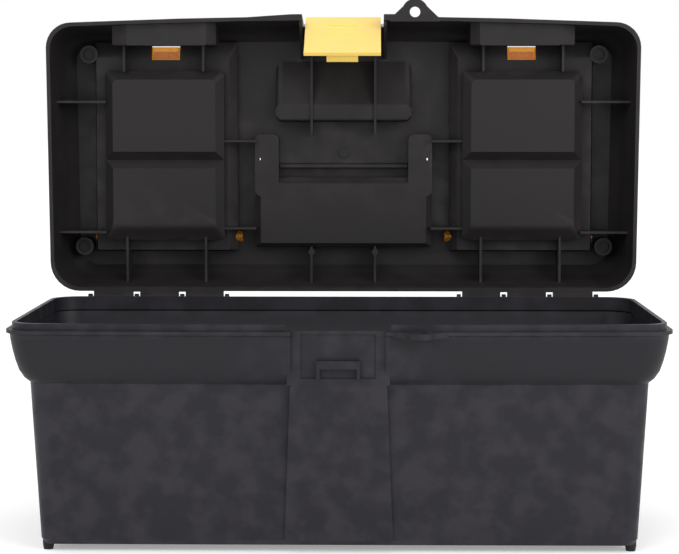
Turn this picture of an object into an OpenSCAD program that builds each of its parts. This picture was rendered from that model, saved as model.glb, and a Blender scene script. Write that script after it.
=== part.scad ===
// Plastic toolbox, shown with its lid open.
// Every module below is drawn with the lid closed, the bin's middle over x = 0, y = 0,
// and the floor at z = 0. The motion modules then open the lid and let the latch hang.

/* [Box] */
// Width over the bin's lip
box_w = 406; // [380:1:430]
// Depth over the bin's lip, at the middle
box_d = 187.5; // [175:0.5:200]
// Height of the bin's lip above the floor
lip_z = 139; // [135:1:143]
// Height of the closed lid's top above the floor
top_z = 187; // [185:1:192]
// How far the front bulges forward at its middle
bow = 4; // [0:0.5:6]
// Wall thickness of the mouldings
wall = 2.5; // [2:0.1:2.8]

/* [Hinge and latch] */
// Diameter of the hinge pins
pin_d = 3.2; // [3:0.1:3.4]
// Diameter of the padlock holes
padlock_d = 7.2; // [6:0.1:8]
// Width of the front latch
latch_w = 52; // [48:0.5:53]
// Length of the front latch, from its pivot to its tip
latch_len = 54.5; // [52:0.5:55]

/* [Pose] */
// Angle that the lid is open, 0 is closed
lid_open = 90; // [0:1:92]
// Angle that the latch hangs inwards when the lid is open
latch_droop = 30; // [0:1:30]

/* [Organizers] */
// Width of an organizer cover
cover_w = 93.8; // [90:0.2:94]
// Depth of an organizer cover
cover_d = 135.6; // [130:0.2:135.8]

/* [Tray] */
// Depth of the tray's compartments, from flange to floor
tray_deep = 36; // [25:1:50]
// Height that the tray's grip stands above its flange
grip_rise = 12; // [8:1:12]

/* [Hidden] */
$fn = 48;
eps = 0.01;
play = 0.05;            // running clearance round a pin

half_w = box_w / 2;
half_d = box_d / 2;
front_r = 17;           // plan radius of the front corners
back_r = 20;            // plan radius of the back corners
back_taper = 1.6;       // the sides lean in towards the back by this much
corner_steps = 8;
bow_steps = 10;

lid_z = lip_z + 0.3;    // the closed lid stands this high on the lip
hinge_y = half_d + 6;
hinge_z = lip_z + 1.5;
knuckle_r = 3.6;
barrel_r = 3.4;
knuckle_xs = [80, 111, 142.5, 174.5];
knuckle_t = 2.8;
knuckle_gap = 4.8;

latch_y = 5.25 - half_d;    // latch pivot
latch_z = lip_z + 27;
latch_r = 6.2;              // roll of the latch round its pivot
latch_skin = 2.4;
notch_half = latch_w / 2 + 2;
notch_top = latch_z + 8;
recess_half = 28.8;         // recess in the bin's front that the latch closes into
recess_y = 7.75 - half_d;

eye_x = 49.3;
eye_y = -3.5 - half_d;
eye_r = 9;
ear_t = 3.3;
ear_root = 3 - half_d;      // the ears end inside the wall, clear of the rim's ridge

shoulder_z = 108.5;         // the sides step in below this height
ledge_z = 110;              // the tray hangs on this ledge
tray_gap = 0.3;
tray_inset = 12.4;

handle_x = 53.6;            // centre line of each handle arm
handle_y = 0.5;
handle_z = 179.6;
arm_w = 9.4;
arm_r = 6.1;
grip_front = 33.5;
grip_back = 62.5;

org_x = 124.5;              // centre line of each organizer
org_half = 47.5;
org_front = -75;
org_back = 66.6;
shelf_z = 175;              // floor of the cover's recess
org_slope = 5.4;            // the frame's lower edge slopes in by this much
well_z = 157;               // lowest face of the compartments
well_bevel = 5.8;           // width and height of the bevel round the compartments
well_half = 41.5;
well_front = -57.2;
well_back = 60.3;
groove_y = 4.3;             // bottom of the groove between the two compartments
seam_z = top_z - wall + 0.5;    // the lid's inner parts join its skin at this height
seam = 0.5;                 // and this far outside their own walls
cover_y = 58.8;             // pivot of the covers
cover_z = top_z - 6.8;
cover_pin_r = 3.9;
tab_half = 8.7;
recess_depth = 19;          // of the finger recesses in the lid's front

// the box's footprint is centred on the origin
shift_y = -((hinge_y + top_z - hinge_z) + (eye_y - eye_r)) / 2;

// ---- outlines ----

function arc(cx, cy, r, from) =
    [for (i = [0:corner_steps]) let (a = from + 90 * i / corner_steps)
        [cx + r * cos(a), cy + r * sin(a)]];

// the box's plan, inset from the lip: bowed front, rounded corners, sides leaning in backwards
function plan(inset) =
    let (hf = half_w - inset,
         hb = half_w - back_taper - inset,
         yf = bow - half_d + inset,
         yb = half_d - inset,
         rf = max(front_r - 0.5 * inset, 4),
         rb = max(back_r - 0.5 * inset, 4),
         bulge = bow * min(1, max(0.1, (20.8 - inset) / 8)), // nearly straight at the bottom
         run = hf - rf)
    concat(
        [for (i = [1:bow_steps - 1]) let (t = 2 * i / bow_steps - 1)
            [run * t, yf - bulge * (1 - t * t)]],
        arc(run, yf + rf, rf, 270),
        arc(hb - rb, yb - rb, rb, 0),
        arc(rb - hb, yb - rb, rb, 90),
        arc(-run, yf + rf, rf, 180));

function rounded(x0, x1, y0, y1, r) =
    concat(arc(x1 - r, y0 + r, r, 270), arc(x1 - r, y1 - r, r, 0),
           arc(x0 + r, y1 - r, r, 90), arc(x0 + r, y0 + r, r, 180));

function at_height(outline, z) = [for (p = outline) [p[0], p[1], z]];

// a closed solid through rings of equal length, lowest first
module skin(rings) {
    n = len(rings[0]);
    top = (len(rings) - 1) * n;
    polyhedron(
        points = [for (ring = rings) for (p = ring) p],
        faces = concat(
            [[for (i = [0:n - 1]) i]],
            [[for (i = [n - 1:-1:0]) top + i]],
            [for (k = [0:len(rings) - 2]) for (i = [0:n - 1]) let (j = (i + 1) % n)
                each [[k * n + i, k * n + n + i, k * n + n + j],
                      [k * n + i, k * n + n + j, k * n + j]]]));
}

// levels are [height, inset from the lip]
module shell_form(levels) {
    skin([for (l = levels) at_height(plan(l[1]), l[0])]);
}

module tub(x0, x1, y0, y1, r, z0, z1, lean) {
    skin([at_height(rounded(x0 + lean, x1 - lean, y0 + lean, y1 - lean, r), z0),
          at_height(rounded(x0, x1, y0, y1, r), z1)]);
}

module block(x0, x1, y0, y1, z0, z1) {
    translate([x0, y0, z0]) cube([x1 - x0, y1 - y0, z1 - z0]);
}

module rod(x0, x1, y, z, r) {
    translate([x0, y, z]) rotate([0, 90, 0]) cylinder(r = r, h = x1 - x0);
}

// a profile of [y, z] points, extruded along x
module along_x(x0, x1, points) {
    translate([x0, 0, 0]) rotate([90, 0, 90]) linear_extrude(x1 - x0) polygon(points);
}

module both_sides() {
    children();
    mirror([1, 0, 0]) children();
}

// ---- motion ----

module placed() {
    translate([0, shift_y, 0]) children();
}

module lid_pose() {
    placed()
        translate([0, hinge_y, hinge_z]) rotate([-lid_open, 0, 0])
            translate([0, -hinge_y, -hinge_z]) children();
}

module latch_pose() {
    lid_pose()
        translate([0, latch_y, latch_z]) rotate([latch_droop, 0, 0])
            translate([0, -latch_y, -latch_z]) children();
}

// ---- bin ----

module padlock_ear(z0, z1) {
    difference() {
        union() {
            translate([eye_x, eye_y, z0]) cylinder(r = eye_r, h = z1 - z0);
            translate([0, 0, z0]) linear_extrude(z1 - z0) polygon([
                [eye_x - 17, ear_root], [eye_x - 17, ear_root - 2], [eye_x - 8, eye_y - 4],
                [eye_x + 8, eye_y - 4], [eye_x + 17, ear_root - 2], [eye_x + 17, ear_root]]);
        }
        translate([eye_x, eye_y, z0 - 1]) cylinder(d = padlock_d, h = z1 - z0 + 2);
        block(eye_x - eye_r, eye_x + eye_r, ear_root, 0, z0 - 1, z1 + 1);
    }
}

module bin_form() {
    shell_form([[4.5, 20.8], [8, 18.6], [shoulder_z - 3, 13.3], [shoulder_z, 10], [113.4, 7],
                [119.7, 5], [126, 3.5], [133, 2.3], [lip_z - 2.8, 2], [lip_z - 2.2, 0], [lip_z, 0]]);
}

module bin_hollow() {
    shell_form([[7, 21.3], [10, 20.9], [ledge_z - 3, 15.7], [ledge_z, 15.4], [ledge_z + 0.4, 11.5],
                [115, 9.2], [121, 7.4], [127, 5.9], [133.4, 4.9], [134.4, 6.1], [lip_z + 4.4, 6.1]]);
}

module rim_ridge() {
    difference() {
        shell_form([[lip_z - 2, 3.3], [lip_z + 4.2, 3.3]]);
        block(-32, 32, -half_d - 1, 40 - half_d, lip_z, lip_z + 6);
    }
}

module latch_catch() {
    block(-13.2, 13.2, recess_y - 3, recess_y + 1, 116, 121);
    both_sides() block(11.2, 13.2, recess_y - 3, recess_y + 1, 110, 121);
}

module bin_knuckle(x) {
    along_x(x - knuckle_t / 2, x + knuckle_t / 2,
            [[half_d - 3, 124], [hinge_y + 3, hinge_z - 2], [hinge_y, hinge_z],
             [half_d + 1.4, lip_z], [half_d - 3, lip_z]]);
    rod(x - knuckle_t / 2, x + knuckle_t / 2, hinge_y, hinge_z, knuckle_r);
}

module foot(x, y) {
    translate([x, y, 0]) cylinder(d1 = 6, d2 = 7, h = 3);
    translate([x, y, 3 - eps]) cylinder(d = 7, h = 7);
}

module front_column() {
    skin([at_height(rounded(-33.7, 33.7, 19.4 - half_d, 24 - half_d, 1.2), 8),
          at_height(rounded(-29.6, 29.6, recess_y, recess_y + 6, 1.2), ledge_z - 1)]);
    block(-31.2, 31.2, recess_y, recess_y + 3, ledge_z - 4, lip_z);
}

module bin_shell() {
    color([0.09, 0.09, 0.1]) placed() difference() {
        union() {
            difference() {
                union() {
                    bin_form();
                    rim_ridge();
                }
                bin_hollow();
            }
            front_column();
            padlock_ear(lip_z - ear_t, lip_z);
            both_sides() {
                for (x = knuckle_xs) bin_knuckle(x);
                foot(180.5, -61.5);
                foot(178.9, 62);
            }
        }
        block(-recess_half, recess_half, -half_d - 5, recess_y, ledge_z - 1, lip_z + 1);
        block(-22.7, 22.7, recess_y - 1, recess_y + 1.2, ledge_z, lip_z - 2);
        both_sides() rod(knuckle_xs[0] - 3, knuckle_xs[3] + 3, hinge_y, hinge_z, pin_d / 2);
    }
    color([0.09, 0.09, 0.1]) placed() latch_catch();
}

// ---- lid ----

module lid_form() {
    shell_form([[lid_z, -0.5], [150, 0.3], [165, 2.2], [175, 4.2], [181, 6.8],
                [top_z - 2, 10], [top_z, 14]]);
}

module lid_hollow() {
    shell_form([[lid_z - 1, 2], [150, 2.8], [165, 4.8], [175, 7], [180, 9.8],
                [top_z - wall, 14.5]]);
}

// the front wall flares forward on each side of the latch's notch
module notch_flare() {
    skin([for (l = [[lid_z, -0.5], [150, 0.3], [165, 2.2], [175, 4.2], [181, 6.8]])
        let (y = l[1] - half_d)
        at_height([[notch_half, y - 1.5], [notch_half + 7, y - 1.5], [66, y + 0.55],
                   [66, y + 1], [notch_half, y + 2]], l[0])]);
}

// what the lid's features stand up to without leaving its outside
module lid_limits() {
    shell_form([[lid_z + 5, 0.8], [150, 1.3], [165, 3.2], [175, 5.4], [181, 8],
                [top_z - 1, 12]]);
}

module organizer_frame(grow, rise, z0, z1) {
    x0 = org_x - org_half - grow;
    x1 = org_x + org_half + grow;
    y0 = org_front - grow;
    y1 = org_back + grow;
    skin([at_height(rounded(x0 + org_slope, x1 - 1.2, y0 + 2 * org_slope, y1 - 1.2, 1), z0),
          at_height(rounded(x0, x1, y0, y1, 1), z0 + rise),
          at_height(rounded(x0, x1, y0, y1, 1), z1)]);
}

// both compartments are one bevelled box below, with a groove across it between them
module wells() {
    x0 = org_x - well_half;
    x1 = org_x + well_half;
    difference() {
        skin([for (l = [[0, well_bevel, 11], [1.3, well_bevel - 1.3, 7], [well_bevel, 0, 0],
                        [shelf_z - well_z, 0, 0]])
            at_height(rounded(x0 + l[1], x1 - l[1], well_front + l[1], well_back - l[2], 3.5),
                      well_z + l[0])]);
        along_x(x0 - 1, x1 + 1, [[groove_y - well_bevel - 1, well_z - 1], [groove_y, well_z + well_bevel],
                                 [groove_y + well_bevel + 1, well_z - 1]]);
    }
}

module well_pocket(y0, y1) {
    tub(org_x - well_half + wall, org_x + well_half - wall, y0, y1, 3,
        well_z + wall, shelf_z + 1, 2);
}

module organizer_outside() {
    organizer_frame(wall, org_slope, shelf_z - wall, top_z - 0.5);
    wells();
}

module organizer_inside() {
    organizer_frame(0, 3.8, shelf_z, top_z + 1);
    well_pocket(well_front + wall, -1);
    well_pocket(9, 54);
    // window for the cover's catch
    block(org_x - tab_half - 1.2, org_x + tab_half + 1.2, org_front - wall - 1, org_front + 9.7,
          shelf_z - wall - 1, shelf_z + 5);
    // room for the cover's arms as they turn
    block(org_x - org_half, org_x + org_half, cover_y, org_back, shelf_z + 2, top_z);
    // bearings of the cover's trunnions
    rod(org_x - org_half - wall - 1, org_x + org_half + wall + 1, cover_y, cover_z,
        cover_pin_r + play);
}

// levels are [height, front, back, corner radius] of the scoop's outside
module scoop_form(grow, z1) {
    skin([for (l = [[170.5, -33, -25, 2.7], [171.3, -35, -23.2, 4], [173.5, -39, -22, 5],
                    [top_z - wall, -63.8, -22, 5], [z1 - grow, -64.5, -22, 5]])
        let (y0 = l[1] + grow, y1 = l[2] - grow)
        at_height(rounded(grow - 47.5, 47.5 - grow, y0, y1, min(l[3], (y1 - y0) / 2 - 0.1)),
                  l[0] + grow)]);
}

module handle_outside() {
    both_sides() tub(45.4, 62, -13.4, 30, 4, 170, top_z - 0.5, 0);
    skin([at_height(rounded(-58, 58, 21, 63, 1), 170), at_height(rounded(-62, 62, 17, 66, 1), 174),
          at_height(rounded(-62, 62, 17, 66, 1), top_z - 0.5)]);
    along_x(-45, 45, [[7, top_z - 1], [8, 179], [10, 178], [11, 179], [11, top_z - 1]]);
}

module handle_inside() {
    both_sides() block(47.9, 59.5, -10.9, 32, 172.5, top_z + 1);
    block(-59.5, 59.5, 19.5, 63.5, 172.5, top_z + 1);
    rod(-62.5, 62.5, handle_y, handle_z, 3 + play);
    // drain holes beside the arms
    both_sides() translate([58.9, 4, 165]) cylinder(r = 0.9, h = 10);
}

module rib_across_y(x, y0, y1, z0) {
    block(x - 0.8, x + 0.8, y0, y1, z0, top_z - 1);
}

module rib_across_x(y, x0, x1, z0) {
    block(x0, x1, y - 0.8, y + 0.8, z0, top_z - 1);
}

module lid_ribs() {
    for (x = [97, 152]) {
        rib_across_y(x, -half_d, -57, well_z);
        rib_across_y(x - 1, 58, half_d, well_z + 3);
    }
    rib_across_x(-36, org_x + well_half - 1, half_w, well_z);
    rib_across_x(54.6, org_x + well_half - 1, half_w, well_z);
    rib_across_x(-8.7, 61, org_x - well_half + 1, 164);
    rib_across_x(52.3, 61, org_x - well_half + 1, 164);
    rib_across_y(22.2, 65, half_d, 160);
    translate([22.2, 68.6, 160]) cylinder(r = 2.2, h = top_z - 161);
    rib_across_y(22.2, -70, -13, 169);
}

module lid_bosses() {
    for (at = [[178.2, -69], [182.6, 65.5]])
        difference() {
            translate([at[0], at[1], 172]) cylinder(r = 6.3, h = 14);
            translate([at[0], at[1], 171]) cylinder(r = 4.2, h = 4);
        }
}

// recess in the front wall that lets a finger reach a cover's catch
module finger_recess(grow, depth, z0, z1) {
    skin([for (l = [[z0, 6.2, 10.3], [z0 + 6, 0, 0], [z1, 0, 0]])
        at_height(rounded(org_x - 36.8 - grow + l[1], org_x + 34.8 + grow - l[2],
                          -half_d - 4, depth - half_d, 1.5), l[0])]);
}

module latch_cheeks() {
    both_sides() along_x(notch_half, notch_half + 2,
        [[2 - half_d, lid_z + 2.5], [14 - half_d, 150], [26 - half_d, 170],
         [28 - half_d, top_z - 1], [2 - half_d, top_z - 1]]);
}

module lid_strip() {
    difference() {
        union() {
            rod(knuckle_xs[0] + knuckle_gap / 2, knuckle_xs[3] - knuckle_gap / 2,
                hinge_y, hinge_z, barrel_r);
            block(knuckle_xs[0] + knuckle_gap / 2, knuckle_xs[3] - knuckle_gap / 2,
                  half_d - 2.2, hinge_y, lid_z, lid_z + 4.6);
        }
        for (x = [knuckle_xs[1], knuckle_xs[2]])
            block(x - knuckle_gap / 2, x + knuckle_gap / 2, half_d + 1, hinge_y + 5,
                  hinge_z - 5, hinge_z + 5);
    }
}

module lid_moulding() {
    difference() {
        union() {
            difference() {
                lid_form();
                lid_hollow();
            }
            intersection() {
                lid_limits();
                union() {
                    both_sides() {
                        organizer_outside();
                        lid_ribs();
                        lid_bosses();
                        finger_recess(0, recess_depth, lid_z + 5.5, top_z - 4);
                    }
                    scoop_form(0, top_z - 0.5);
                    handle_outside();
                    latch_cheeks();
                    // mark left by the moulding gate
                    translate([0, 0, 183.2]) cylinder(r = 3.2, h = 2);
                }
            }
            both_sides() {
                lid_strip();
                notch_flare();
            }
            padlock_ear(lid_z, lid_z + ear_t);
        }
        both_sides() {
            organizer_inside();
            finger_recess(-wall, recess_depth - wall, lid_z + 9, top_z + 1);
            rod(knuckle_xs[0] - 3, knuckle_xs[3] + 3, hinge_y, hinge_z, pin_d / 2 + play);
        }
        scoop_form(wall, top_z + 2);
        handle_inside();
        // the padlock's hole, and room above it for the shackle
        translate([eye_x, eye_y, lid_z - 1]) cylinder(d = padlock_d, h = ear_t + 2);
        translate([eye_x, eye_y, lid_z + ear_t - eps]) cylinder(d = padlock_d + 0.6, h = 40);
        // the latch's notch
        block(-notch_half, notch_half, -half_d - 3, 12 - half_d, lid_z - 1, notch_top);
        rod(-notch_half - 1.4, notch_half + 1.4, latch_y, latch_z, pin_d / 2 + play);
    }
}

// the spaces that the lid's inner parts take up, against its skin
module organizer_zone() {
    reach = wall + seam;
    block(org_x - org_half - reach, org_x + org_half + reach, org_front - reach, org_back + reach,
          shelf_z - reach, seam_z);
    block(org_x - well_half - seam, org_x + well_half + seam, well_front - seam, well_back + seam,
          well_z - seam, shelf_z);
}

module handle_zone() {
    both_sides() block(45.4 - seam, 62 + seam, -13.4 - seam, 30, 170 - seam, seam_z);
    block(-62 - seam, 62 + seam, 17 - seam, 66 + seam, 170 - seam, seam_z);
}

module scoop_zone() {
    block(-47.5 - seam, 47.5 + seam, -64.5 - seam, -22 + seam, 168.5, seam_z);
}

module lid_part() {
    color([0.11, 0.1, 0.1]) lid_pose() intersection() {
        lid_moulding();
        children();
    }
}

module lid_shell() {
    color([0.11, 0.1, 0.1]) lid_pose() difference() {
        lid_moulding();
        both_sides() organizer_zone();
        handle_zone();
        scoop_zone();
    }
}

module organizer_tub_left() {
    lid_part() mirror([1, 0, 0]) organizer_zone();
}

module organizer_tub_right() {
    lid_part() organizer_zone();
}

module handle_housing() {
    lid_part() handle_zone();
}

module finger_scoop() {
    lid_part() scoop_zone();
}

// ---- pins ----

module hinge_pin() {
    rod(knuckle_xs[0] - 2.4, knuckle_xs[3] + 2.4, hinge_y, hinge_z, pin_d / 2);
}

module hinge_pin_left() {
    color("gray") placed() mirror([1, 0, 0]) hinge_pin();
}

module hinge_pin_right() {
    color("gray") placed() hinge_pin();
}

module latch_pin() {
    color("gray") latch_pose()
        rod(-notch_half - 1.3, notch_half + 1.3, latch_y, latch_z, pin_d / 2);
}

// ---- latch ----

module front_latch() {
    tip = latch_z - latch_len;
    face = latch_y - latch_r;
    color([0.95, 0.85, 0.3]) latch_pose() difference() {
        union() {
            rod(-latch_w / 2, latch_w / 2, latch_y, latch_z, latch_r);
            along_x(-latch_w / 2, latch_w / 2,
                    [[face, latch_z], [face - 0.9, latch_z - 18], [face - 0.9, latch_z - 38],
                     [face - 2.8, tip], [face - 0.4, tip], [face + 1.5, latch_z - 38],
                     [face + 1.5, latch_z - 18], [face + latch_skin, latch_z]]);
            both_sides() along_x(latch_w / 2 - 2, latch_w / 2,
                    [[face, latch_z], [face - 0.9, latch_z - 18], [face - 0.9, latch_z - 38],
                     [face - 1.6, tip + 6], [face + 4, tip + 8], [face + 5.6, latch_z - 30],
                     [latch_y + 5, latch_z]]);
            // hook that draws under the catch
            along_x(-10.6, 10.6, [[face - 0.5, 117], [face - 0.8, 112.6],
                                  [recess_y - 3.6, 113], [recess_y - 3.6, 115.2]]);
            for (k = [0:2]) rod(-9.6, 9.6, face - 0.7, latch_z - 11.5 - 6 * k, 0.7);
        }
        rod(-latch_w / 2 - 1, latch_w / 2 + 1, latch_y, latch_z, pin_d / 2 + play);
        // the roll is hollow between its two end cheeks
        block(2.4 - latch_w / 2, latch_w / 2 - 2.4, latch_y - 3.4, latch_y + latch_r + 1,
              latch_z - latch_r - 1, latch_z + 3.4);
    }
}

// ---- carrying handle ----

module carry_handle() {
    color([0.09, 0.09, 0.1]) lid_pose() union() {
        both_sides() {
            rod(handle_x - arm_w / 2, handle_x + arm_w / 2, handle_y, handle_z, arm_r);
            block(handle_x - arm_w / 2, handle_x + arm_w / 2, handle_y, grip_back - 8,
                  handle_z - arm_r, handle_z + arm_r - 0.6);
            rod(handle_x - arm_w / 2 - 2.3, handle_x + arm_w / 2 + 2.3, handle_y, handle_z, 3);
        }
        hull() for (y = [grip_front + 5, grip_back - 5])
            rod(-handle_x - arm_w / 2, handle_x + arm_w / 2, y, handle_z, arm_r - 0.4);
    }
}

// ---- organizer covers ----

module cover_solid() {
    x0 = org_x - cover_w / 2;
    x1 = org_x + cover_w / 2;
    back = cover_y + 2.4;
    front = back - cover_d;
    difference() {
        union() {
            tub(x0, x1, front, back, 2, top_z - 2.4, top_z - 0.2, 0);
            // skirt that keeps small parts in
            difference() {
                block(x0 + 0.6, x1 - 0.6, front + 0.6, cover_y - 9, top_z - 8, top_z - 2);
                block(x0 + 2.2, x1 - 2.2, front + 2.2, cover_y - 10.6, top_z - 9, top_z - 2.4);
            }
            // arms down to the trunnions
            for (x = [x0, x1 - 3])
                block(x, x + 3, cover_y - cover_pin_r, back, cover_z, top_z - 1);
            rod(x0 - 6.4, x0 + 3, cover_y, cover_z, cover_pin_r);
            rod(x1 - 3, x1 + 3.8, cover_y, cover_z, cover_pin_r);
            // spring catch at the front
            block(org_x - tab_half, org_x + tab_half, front + 0.6, front + 3.4,
                  shelf_z + 0.4, top_z - 1);
            block(org_x - tab_half, org_x + tab_half, front + 0.6, front + 8.4,
                  shelf_z + 0.4, shelf_z + 2.6);
        }
        for (k = [0:2])
            block(org_x - 15, org_x + 15, front + 4 + 3 * k, front + 5.4 + 3 * k,
                  top_z - 0.8, top_z + 1);
    }
}

module organizer_cover_left() {
    color([0.9, 0.55, 0.15, 0.6]) lid_pose() mirror([1, 0, 0]) cover_solid();
}

module organizer_cover_right() {
    color([0.9, 0.55, 0.15, 0.6]) lid_pose() cover_solid();
}

// ---- tray ----

module tray_form(grow, z0, z1) {
    skin([at_height(rounded(-181 - grow, 181 + grow, -70 - grow, 74 + grow, 10), z0),
          at_height(rounded(-184.5 - grow, 184.5 + grow, -72.5 - grow, 76.5 + grow, 12), z1)]);
}

module tray_divider_y(x, y0, y1) {
    block(x - 1, x + 1, y0, y1, ledge_z + 1 - tray_deep, ledge_z + 0.4);
}

module lift_out_tray() {
    floor_z = ledge_z + tray_gap - tray_deep;
    flange_z = ledge_z + 0.4 + tray_gap;
    color([0.13, 0.13, 0.14]) placed() union() {
        difference() {
            union() {
                shell_form([[flange_z, tray_inset], [flange_z + 2.2, tray_inset]]);
                tray_form(0, floor_z, flange_z + 1);
            }
            tray_form(-2, floor_z + 2, flange_z + 3);
        }
        // the middle wall carries the grip
        difference() {
            union() {
                block(-183, 183, -1.2, 1.2, floor_z + 1, flange_z + 1);
                block(-66, 66, -5, 5, floor_z + 1, flange_z + grip_rise);
            }
            block(-50, 50, -7, 7, flange_z - 14, flange_z + 4);
        }
        for (x = [-122, 122]) tray_divider_y(x, 1, 75.5);
        for (x = [-62, 62]) tray_divider_y(x, -71.5, -1);
    }
}

bin_shell();
lid_shell();
organizer_tub_left();
organizer_tub_right();
handle_housing();
finger_scoop();
hinge_pin_left();
hinge_pin_right();
latch_pin();
front_latch();
carry_handle();
organizer_cover_left();
organizer_cover_right();
lift_out_tray();
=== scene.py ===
import math

import bpy
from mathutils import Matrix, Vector


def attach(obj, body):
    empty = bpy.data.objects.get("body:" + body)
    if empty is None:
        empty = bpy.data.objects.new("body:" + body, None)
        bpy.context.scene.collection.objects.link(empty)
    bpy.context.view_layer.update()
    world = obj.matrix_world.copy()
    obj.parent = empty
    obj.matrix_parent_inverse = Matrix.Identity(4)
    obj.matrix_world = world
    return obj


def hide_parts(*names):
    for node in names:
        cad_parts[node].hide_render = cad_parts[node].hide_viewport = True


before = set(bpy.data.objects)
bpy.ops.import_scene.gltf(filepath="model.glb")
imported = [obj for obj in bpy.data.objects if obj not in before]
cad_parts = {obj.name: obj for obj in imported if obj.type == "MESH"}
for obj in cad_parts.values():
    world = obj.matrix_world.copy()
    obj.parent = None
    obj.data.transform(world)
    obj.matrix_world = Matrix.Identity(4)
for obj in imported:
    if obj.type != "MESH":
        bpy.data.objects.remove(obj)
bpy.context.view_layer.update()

bl_info = {
    "name": "Toolbox with Tray",
    "version": (1, 0, 0),
    "blender": (4, 5, 0),
    "location": "3D View > Sidebar > Toolbox",
    "description": "Builds the finish of a plastic toolbox round its packed frame",
    "category": "Object",
}

MERGE_DISTANCE = 0.00001
FLAT_ANGLE = 0.6  # degrees: neighbouring faces that turn less than this become one face
SMOOTH_ANGLE = 34  # degrees: edges that turn less than this are shaded smooth
SOFT_ANGLE = 30  # degrees: edges that turn more than this are rounded
ROUND_SOFT_ANGLE = 35  # degrees: the same, for the latch and the handle, which have curved walls
WIRE_SOFT_ANGLE = 40  # degrees: the same, for the pins, so that only their ends are rounded
FINE_SEGMENTS = 3
FLAT_FACE_WEIGHT = 80
WEAR_AND_HIGHLIGHT_STARTS, WEAR_AND_HIGHLIGHT_FULL = 16, 38  # degrees that the surface turns, where the rubbed edges and their painted highlight start and are full

# a noise keeps mostly to the middle of its range, so these stretches of it are spread out
MIDDLE = (0.35, 0.65)
WIDE_MIDDLE = (0.3, 0.7)

MOULDED_ROUGHNESS, MOULDED_SPREAD = 0.5, 0.015
GRAIN_DEPTH = 0.00002
DUST_TONE, RUBBED_AND_HIGHLIGHT_TONE = 2.0, 2.6  # how many times as light as the plastic; the rubbed edge tone is also a painted highlight on the rounded edges

FLOOR_SIZE = 24
FLOOR_GLOW = 0.3
WHITE = (1, 1, 1, 1)
LIGHT_AIM = (0, 0, 0.15)
KEY_PLACE, KEY_SIZE, KEY_WATTS = (-0.9, -1.9, 1.9), (1.4, 1.4), 16
FILL_PLACE, FILL_SIZE, FILL_WATTS = (1.6, -1.6, 0.9), (1.2, 1.2), 22
CAMERA_PLACE = (0.0212, -1.3681, 0.2794)
CAMERA_TILT, CAMERA_TURN = 85.123, 0.929  # degrees
LENS, SENSOR_WIDTH = 111.63, 36  # millimetres


# ---- settings ----

class ToolboxSizes(bpy.types.PropertyGroup):
    shell_edge: bpy.props.FloatProperty(
        name="Shell Edge", description="Radius of the edges of the bin and the lid",
        default=0.0005, min=0.0001, max=0.001, unit="LENGTH", precision=5)
    latch_edge: bpy.props.FloatProperty(
        name="Latch Edge", description="Radius of the edges of the front latch",
        default=0.0009, min=0.0001, max=0.0012, unit="LENGTH", precision=5)
    handle_edge: bpy.props.FloatProperty(
        name="Handle Edge", description="Radius of the edges of the carrying handle",
        default=0.0012, min=0.0002, max=0.002, unit="LENGTH", precision=5)
    small_edge: bpy.props.FloatProperty(
        name="Small Edge", description="Radius of the edges of the covers, the tray and the pins",
        default=0.0004, min=0.0001, max=0.0006, unit="LENGTH", precision=5)
    grain: bpy.props.FloatProperty(
        name="Grain", description="Size of the grain moulded into the black plastic",
        default=0.0009, min=0.0003, max=0.003, unit="LENGTH", precision=5)


class ToolboxColours(bpy.types.PropertyGroup):
    bin_black: bpy.props.FloatVectorProperty(
        name="Bin", description="Colour of the bin's plastic",
        default=(0.0105, 0.0096, 0.0126), subtype="COLOR", min=0, max=1)
    lid_black: bpy.props.FloatVectorProperty(
        name="Lid", description="Colour of the lid's plastic",
        default=(0.0150, 0.0134, 0.0136), subtype="COLOR", min=0, max=1)
    tray_black: bpy.props.FloatVectorProperty(
        name="Tray", description="Colour of the tray's plastic",
        default=(0.0165, 0.0150, 0.0148), subtype="COLOR", min=0, max=1)
    latch_yellow: bpy.props.FloatVectorProperty(
        name="Latch", description="Colour of the front latch",
        default=(0.83, 0.585, 0.135), subtype="COLOR", min=0, max=1)
    amber: bpy.props.FloatVectorProperty(
        name="Covers", description="Colour of the clear organizer covers",
        default=(0.80, 0.33, 0.02), subtype="COLOR", min=0, max=1)
    steel: bpy.props.FloatVectorProperty(
        name="Pins", description="Colour of the drawn steel pins",
        default=(0.55, 0.55, 0.56), subtype="COLOR", min=0, max=1)
    floor: bpy.props.FloatVectorProperty(
        name="Floor", description="Colour of the studio floor",
        default=(0.8, 0.8, 0.8), subtype="COLOR", min=0, max=1)


# ---- mesh work ----

def only(piece):
    """Makes piece the only selected object, and the active one."""
    bpy.ops.object.select_all(action="DESELECT")
    piece.select_set(True)
    bpy.context.view_layer.objects.active = piece


def node_copy(node, name):
    """A copy of a CAD node as one connected mesh with plain flat faces."""
    piece = bpy.data.objects.new(name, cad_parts[node].data.copy())
    bpy.context.scene.collection.objects.link(piece)
    piece.data.materials.clear()
    only(piece)
    bpy.ops.mesh.customdata_custom_splitnormals_clear()
    bpy.ops.object.mode_set(mode="EDIT")
    bpy.ops.mesh.select_all(action="SELECT")
    bpy.ops.mesh.remove_doubles(threshold=MERGE_DISTANCE)
    bpy.ops.mesh.dissolve_limited(
        angle_limit=math.radians(FLAT_ANGLE), use_dissolve_boundaries=False)
    bpy.ops.object.mode_set(mode="OBJECT")
    return piece


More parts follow.
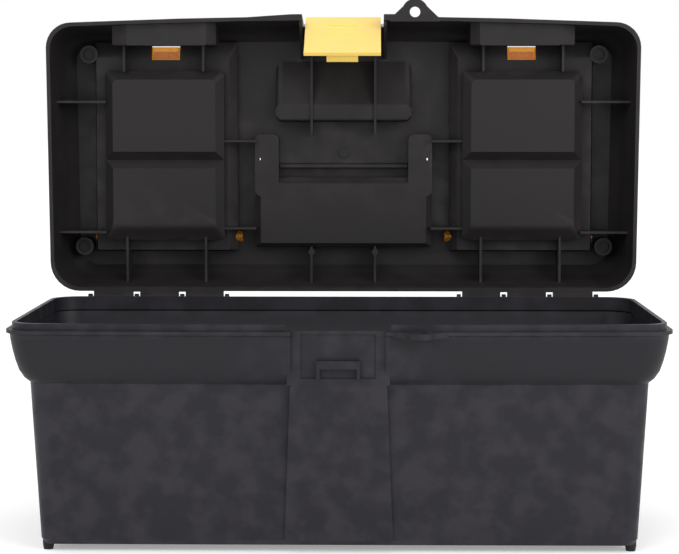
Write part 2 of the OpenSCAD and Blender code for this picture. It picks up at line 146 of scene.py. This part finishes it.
def soften(piece, width, angle=SOFT_ANGLE, segments=2):
    """Rounds every edge sharper than angle degrees, and smooths the shading."""
    only(piece)
    bevel = piece.modifiers.new("Rounded edges", "BEVEL")
    bevel.width = width
    bevel.segments = segments
    bevel.limit_method = "ANGLE"
    bevel.angle_limit = math.radians(angle)
    bevel.use_clamp_overlap = True
    bevel.miter_outer = "MITER_SHARP"
    bpy.ops.object.modifier_apply(modifier=bevel.name)
    bpy.ops.object.shade_smooth_by_angle(angle=math.radians(SMOOTH_ANGLE))
    # large flat faces keep their own normals, so that only the rounded edges are blended
    weighted = piece.modifiers.new("Flat faces", "WEIGHTED_NORMAL")
    weighted.keep_sharp = True
    weighted.weight = FLAT_FACE_WEIGHT
    bpy.ops.object.modifier_apply(modifier=weighted.name)


def mark_wear_and_highlight(piece):
    """Stores how sharply the surface turns at each point, from 0 to 1, as an attribute that marks
    rubbed edges and where a painted highlight lightens them.
    """
    mesh = piece.data
    turn = [0.0] * len(mesh.vertices)
    beside = {}
    for face in mesh.polygons:
        for key in face.edge_keys:
            beside.setdefault(key, []).append(face.normal)
    for (a, b), normals in beside.items():
        if len(normals) == 2:
            angle = math.degrees(normals[0].angle(normals[1], 0))
            turn[a] = max(turn[a], angle)
            turn[b] = max(turn[b], angle)
    wear_and_highlight = mesh.attributes.new("wear_and_highlight", "FLOAT", "POINT")
    span = WEAR_AND_HIGHLIGHT_FULL - WEAR_AND_HIGHLIGHT_STARTS
    wear_and_highlight.data.foreach_set("value", [min(max((t - WEAR_AND_HIGHLIGHT_STARTS) / span, 0), 1) for t in turn])


def finish_piece(piece, body, slot, material, *nodes):
    """Gives the piece its finish, hangs it on its body's empty and hides the CAD nodes that it
    replaces.
    """
    mark_wear_and_highlight(piece)
    piece.data.materials.clear()
    piece.data.materials.append(material)
    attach(piece, body)
    if nodes:
        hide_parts(*nodes)


# ---- materials ----

class Tree:
    """A short hand for building one material's nodes."""

    def __init__(self, name):
        self.material = bpy.data.materials.new(name)
        self.material.use_nodes = True
        self.nodes = self.material.node_tree.nodes
        self.links = self.material.node_tree.links
        self.shader = self.nodes["Principled BSDF"]
        self.place = self.nodes.new("ShaderNodeTexCoord").outputs["Object"]

    def node(self, kind, links=(), **settings):
        made = self.nodes.new(kind)
        for key, value in settings.items():
            setattr(made, key, value)
        for socket, source in dict(links).items():
            if isinstance(source, bpy.types.NodeSocket):
                self.links.new(source, made.inputs[socket])
            else:
                made.inputs[socket].default_value = source
        return made

    def noise(self, scale, detail=2.0, roughness=0.5, stretch=None):
        place = self.place
        if stretch:
            mapping = self.node("ShaderNodeMapping", {"Vector": place, "Scale": stretch})
            place = mapping.outputs[0]
        noise = self.node("ShaderNodeTexNoise", {
            "Vector": place, "Scale": scale, "Detail": detail, "Roughness": roughness})
        return noise.outputs["Fac"]

    def between(self, value, low, high, start, end):
        """value from low..high, mapped to start..end."""
        mapped = self.node("ShaderNodeMapRange", {
            "Value": value, "From Min": low, "From Max": high, "To Min": start, "To Max": end})
        return mapped.outputs["Result"]

    def times(self, a, b):
        return self.node("ShaderNodeMath", {0: a, 1: b}, operation="MULTIPLY").outputs[0]

    def plus(self, a, b):
        return self.node("ShaderNodeMath", {0: a, 1: b}, operation="ADD").outputs[0]

    def mixed(self, factor, a, b):
        """The colours a and b mixed. Sockets are told apart by number, because names repeat."""
        mix = self.node("ShaderNodeMix", data_type="RGBA")
        for index, source in ((0, factor), (6, a), (7, b)):
            if isinstance(source, bpy.types.NodeSocket):
                self.links.new(source, mix.inputs[index])
            elif index:
                mix.inputs[index].default_value = (*source, 1)
            else:
                mix.inputs[index].default_value = source
        return mix.outputs[2]

    def wear_and_highlight(self):
        """Where the edges are rubbed and lightened by a painted highlight: the stored mark, broken
        up by a noise.
        """
        stored = self.node("ShaderNodeAttribute", attribute_name="wear_and_highlight").outputs["Fac"]
        patches = self.between(self.noise(70, 4), 0.42, 0.62, 0.15, 1)
        return self.times(stored, patches)

    def bumped(self, height, distance, strength=1.0):
        bump = self.node("ShaderNodeBump", {
            "Height": height, "Distance": distance, "Strength": strength})
        self.links.new(bump.outputs["Normal"], self.shader.inputs["Normal"])

    def feed(self, socket, source):
        self.links.new(source, self.shader.inputs[socket])

    def fixed(self, **values):
        names = {"specular": "Specular IOR Level", "ior": "IOR", "metallic": "Metallic",
                 "transmission": "Transmission Weight", "roughness": "Roughness",
                 "subsurface": "Subsurface Weight", "subsurface_scale": "Subsurface Scale",
                 "emission": "Emission Strength"}
        for key, value in values.items():
            self.shader.inputs[names[key]].default_value = value


def scaled(colour, factor):
    return tuple(min(c * factor, 1) for c in colour)


def moulded_plastic(name, colour, grain):
    """Matt moulded plastic: a fine grain, faint flow marks, dusty patches, and rubbed edges
    lightened as a painted highlight.
    """
    tree = Tree(name)
    flow = tree.between(tree.noise(7, 3, 0.55), *MIDDLE, 0, 1)
    dust = tree.between(tree.noise(240, 6, 0.65), 0.58, 0.75, 0, 0.15)
    base = tree.mixed(flow, scaled(colour, 0.97), scaled(colour, 1.04))
    base = tree.mixed(dust, base, scaled(colour, DUST_TONE))
    # rounded edges made lighter: rubbed wear together with a painted highlight of light catching
    # the edges
    base = tree.mixed(tree.times(tree.wear_and_highlight(), 0.6), base, scaled(colour, RUBBED_AND_HIGHLIGHT_TONE))
    tree.feed("Base Color", base)
    rough = tree.between(tree.noise(60, 4), *WIDE_MIDDLE,
                         MOULDED_ROUGHNESS - MOULDED_SPREAD, MOULDED_ROUGHNESS + MOULDED_SPREAD)
    tree.feed("Roughness", tree.plus(rough, tree.times(tree.wear_and_highlight(), -0.1)))
    tree.fixed(specular=0.22, ior=1.49)
    tree.bumped(tree.noise(1 / grain, 2, 0.6), GRAIN_DEPTH)
    return tree.material


def satin_plastic(name, colour):
    """Smooth coloured plastic with a soft shine, slightly deeper in tone in patches."""
    tree = Tree(name)
    flow = tree.between(tree.noise(22, 2), *MIDDLE, 0, 1)
    base = tree.mixed(flow, scaled(colour, 0.96), scaled(colour, 1.03))
    # edges made lighter: rubbed wear together with a painted highlight on the rounded edges
    base = tree.mixed(tree.times(tree.wear_and_highlight(), 0.35), base, scaled(colour, 1.25))
    tree.feed("Base Color", base)
    tree.feed("Roughness", tree.between(tree.noise(90, 3), *WIDE_MIDDLE, 0.3, 0.4))
    tree.fixed(specular=0.5, ior=1.5, subsurface=0.12, subsurface_scale=0.002)
    tree.bumped(tree.noise(1500, 2, 0.6), 0.00001)
    return tree.material


def clear_plastic(name, colour):
    """Clear tinted plastic, with faint moulding swirls and hazy rubbed edges."""
    tree = Tree(name)
    swirl = tree.between(tree.noise(16, 3, 0.5, (1, 3, 1)), *MIDDLE, 0, 1)
    tree.feed("Base Color", tree.mixed(swirl, scaled(colour, 0.92), scaled(colour, 1.08)))
    hazy = tree.between(tree.noise(110, 4), *WIDE_MIDDLE, 0.08, 0.2)
    tree.feed("Roughness", tree.plus(hazy, tree.times(tree.wear_and_highlight(), 0.25)))
    tree.fixed(specular=0.5, ior=1.5, transmission=0.7)
    tree.bumped(tree.noise(60, 2), 0.00003, 0.6)
    return tree.material


def drawn_steel(name, colour):
    """Drawn wire: fine lines along its length, a little duller in patches."""
    tree = Tree(name)
    lines = tree.noise(900, 2, 0.6, (0.01, 1, 1))
    base = tree.mixed(tree.between(lines, *MIDDLE, 0, 1), scaled(colour, 0.8), scaled(colour, 1.1))
    tree.feed("Base Color", base)
    tree.feed("Roughness", tree.between(tree.noise(120, 3), *WIDE_MIDDLE, 0.22, 0.4))
    tree.fixed(metallic=1.0)
    tree.bumped(lines, 0.00001)
    return tree.material


def material(name):
    """The finish called name, made the first time that it is asked for."""
    found = bpy.data.materials.get(name)
    if found:
        return found
    colours, sizes = bpy.context.scene.toolbox_colours, bpy.context.scene.toolbox_sizes
    makers = {
        "Bin plastic": lambda: moulded_plastic(name, colours.bin_black, sizes.grain),
        "Lid plastic": lambda: moulded_plastic(name, colours.lid_black, sizes.grain),
        "Tray plastic": lambda: moulded_plastic(name, colours.tray_black, sizes.grain),
        "Latch plastic": lambda: satin_plastic(name, colours.latch_yellow),
        "Amber plastic": lambda: clear_plastic(name, colours.amber),
        "Pin steel": lambda: drawn_steel(name, colours.steel),
    }
    return makers[name]()


# ---- the pieces ----

class TOOLBOX_OT_bin(bpy.types.Operator):
    """Build the bin"""
    bl_idname = "toolbox.bin"
    bl_label = "Bin"

    def execute(self, context):
        piece = node_copy("bin_shell", "bin")
        soften(piece, context.scene.toolbox_sizes.shell_edge)
        finish_piece(piece, "bin", "bin_plastic", material("Bin plastic"), "bin_shell")
        return {"FINISHED"}


class TOOLBOX_OT_lid(bpy.types.Operator):
    """Build the lid"""
    bl_idname = "toolbox.lid"
    bl_label = "Lid"

    def execute(self, context):
        nodes = ("lid_shell", "organizer_tub_left", "organizer_tub_right",
                 "handle_housing", "finger_scoop")
        parts = []
        for node in nodes:
            parts.append(node_copy(node, node.replace("_shell", "")))
            soften(parts[-1], context.scene.toolbox_sizes.shell_edge)
        only(parts[0])
        for part in parts[1:]:
            part.select_set(True)
        bpy.ops.object.join()
        finish_piece(parts[0], "lid", "lid_plastic", material("Lid plastic"), *nodes)
        return {"FINISHED"}


class TOOLBOX_OT_latch(bpy.types.Operator):
    """Build the front latch"""
    bl_idname = "toolbox.latch"
    bl_label = "Front Latch"

    def execute(self, context):
        piece = node_copy("front_latch", "latch")
        soften(piece, context.scene.toolbox_sizes.latch_edge, ROUND_SOFT_ANGLE, FINE_SEGMENTS)
        finish_piece(piece, "latch", "latch_plastic", material("Latch plastic"), "front_latch")
        return {"FINISHED"}


class TOOLBOX_OT_handle(bpy.types.Operator):
    """Build the carrying handle"""
    bl_idname = "toolbox.handle"
    bl_label = "Carrying Handle"

    def execute(self, context):
        piece = node_copy("carry_handle", "handle")
        soften(piece, context.scene.toolbox_sizes.handle_edge, ROUND_SOFT_ANGLE, FINE_SEGMENTS)
        finish_piece(piece, "handle", "bin_plastic", material("Bin plastic"), "carry_handle")
        return {"FINISHED"}


class TOOLBOX_OT_covers(bpy.types.Operator):
    """Build both organizer covers"""
    bl_idname = "toolbox.covers"
    bl_label = "Organizer Covers"

    def execute(self, context):
        for side in ("left", "right"):
            node = "organizer_cover_" + side
            piece = node_copy(node, "cover_" + side)
            soften(piece, context.scene.toolbox_sizes.small_edge)
            finish_piece(piece, "cover_" + side, "amber_plastic", material("Amber plastic"), node)
        return {"FINISHED"}


class TOOLBOX_OT_tray(bpy.types.Operator):
    """Build the lift-out tray"""
    bl_idname = "toolbox.tray"
    bl_label = "Lift-out Tray"

    def execute(self, context):
        piece = node_copy("lift_out_tray", "tray")
        soften(piece, context.scene.toolbox_sizes.small_edge)
        finish_piece(piece, "tray", "tray_plastic", material("Tray plastic"), "lift_out_tray")
        return {"FINISHED"}


class TOOLBOX_OT_pins(bpy.types.Operator):
    """Build the hinge pins and the latch pin"""
    bl_idname = "toolbox.pins"
    bl_label = "Pins"

    def execute(self, context):
        for node, body in (("hinge_pin_left", "bin"), ("hinge_pin_right", "bin"),
                           ("latch_pin", "latch_pivot")):
            piece = node_copy(node, node.replace("_pin", "_wire"))
            soften(piece, context.scene.toolbox_sizes.small_edge, WIRE_SOFT_ANGLE)
            finish_piece(piece, body, "pin_steel", material("Pin steel"), node)
        return {"FINISHED"}


# ---- the stage ----

def area_light(name, place, aim, size, power):
    light = bpy.data.lights.new(name, "AREA")
    light.shape = "RECTANGLE"
    light.size, light.size_y = size
    light.energy = power
    lamp = bpy.data.objects.new(name, light)
    bpy.context.scene.collection.objects.link(lamp)
    lamp.location = place
    lamp.rotation_euler = (Vector(aim) - Vector(place)).to_track_quat("-Z", "Y").to_euler()
    return lamp


class TOOLBOX_OT_stage(bpy.types.Operator):
    """Lay the floor, set the lights and place the camera"""
    bl_idname = "toolbox.stage"
    bl_label = "Stage"

    def execute(self, context):
        scene = context.scene
        bpy.ops.object.select_all(action="DESELECT")
        bpy.ops.mesh.primitive_plane_add(size=FLOOR_SIZE, location=(0, 0, 0))
        floor = context.active_object
        floor.name = "floor"
        tree = Tree("Studio floor")
        tone = scene.toolbox_colours.floor
        base = tree.mixed(tree.noise(3, 2), scaled(tone, 0.99), scaled(tone, 1.01))
        tree.feed("Base Color", base)
        tree.fixed(roughness=0.9, specular=0.1, emission=FLOOR_GLOW)
        tree.shader.inputs["Emission Color"].default_value = WHITE
        floor.data.materials.append(tree.material)

        world = bpy.data.worlds.new("Studio")
        scene.world = world
        world.use_nodes = True
        background = world.node_tree.nodes["Background"]
        background.inputs["Color"].default_value = WHITE
        background.inputs["Strength"].default_value = 1.0
        area_light("Key", KEY_PLACE, LIGHT_AIM, KEY_SIZE, KEY_WATTS)
        area_light("Fill", FILL_PLACE, LIGHT_AIM, FILL_SIZE, FILL_WATTS)

        lens = bpy.data.cameras.new("Camera")
        lens.sensor_width = SENSOR_WIDTH
        lens.lens = LENS
        camera = bpy.data.objects.new("Camera", lens)
        scene.collection.objects.link(camera)
        camera.location = CAMERA_PLACE
        camera.rotation_euler = (math.radians(CAMERA_TILT), 0, math.radians(CAMERA_TURN))
        scene.camera = camera
        scene.view_settings.view_transform = "Standard"
        return {"FINISHED"}


class TOOLBOX_PT_panel(bpy.types.Panel):
    """Lists the toolbox's settings and its pieces"""
    bl_idname = "TOOLBOX_PT_panel"
    bl_label = "Toolbox"
    bl_space_type = "VIEW_3D"
    bl_region_type = "UI"
    bl_category = "Toolbox"

    def draw(self, context):
        for group in (context.scene.toolbox_sizes, context.scene.toolbox_colours):
            box = self.layout.box()
            for key in group.__annotations__:
                box.prop(group, key)
        for operator in OPERATORS:
            self.layout.operator(operator.bl_idname)


OPERATORS = (TOOLBOX_OT_bin, TOOLBOX_OT_lid, TOOLBOX_OT_latch, TOOLBOX_OT_handle, TOOLBOX_OT_covers,
             TOOLBOX_OT_tray, TOOLBOX_OT_pins, TOOLBOX_OT_stage)
CLASSES = (ToolboxSizes, ToolboxColours, *OPERATORS, TOOLBOX_PT_panel)


def register():
    for cls in CLASSES:
        bpy.utils.register_class(cls)
    bpy.types.Scene.toolbox_sizes = bpy.props.PointerProperty(type=ToolboxSizes)
    bpy.types.Scene.toolbox_colours = bpy.props.PointerProperty(type=ToolboxColours)


def unregister():
    del bpy.types.Scene.toolbox_colours
    del bpy.types.Scene.toolbox_sizes
    for cls in reversed(CLASSES):
        bpy.utils.unregister_class(cls)


def main():
    register()
    for build in (bpy.ops.toolbox.bin, bpy.ops.toolbox.lid, bpy.ops.toolbox.latch,
                  bpy.ops.toolbox.handle, bpy.ops.toolbox.covers, bpy.ops.toolbox.tray,
                  bpy.ops.toolbox.pins, bpy.ops.toolbox.stage):
        build()


if __name__ == "__main__":
    main()
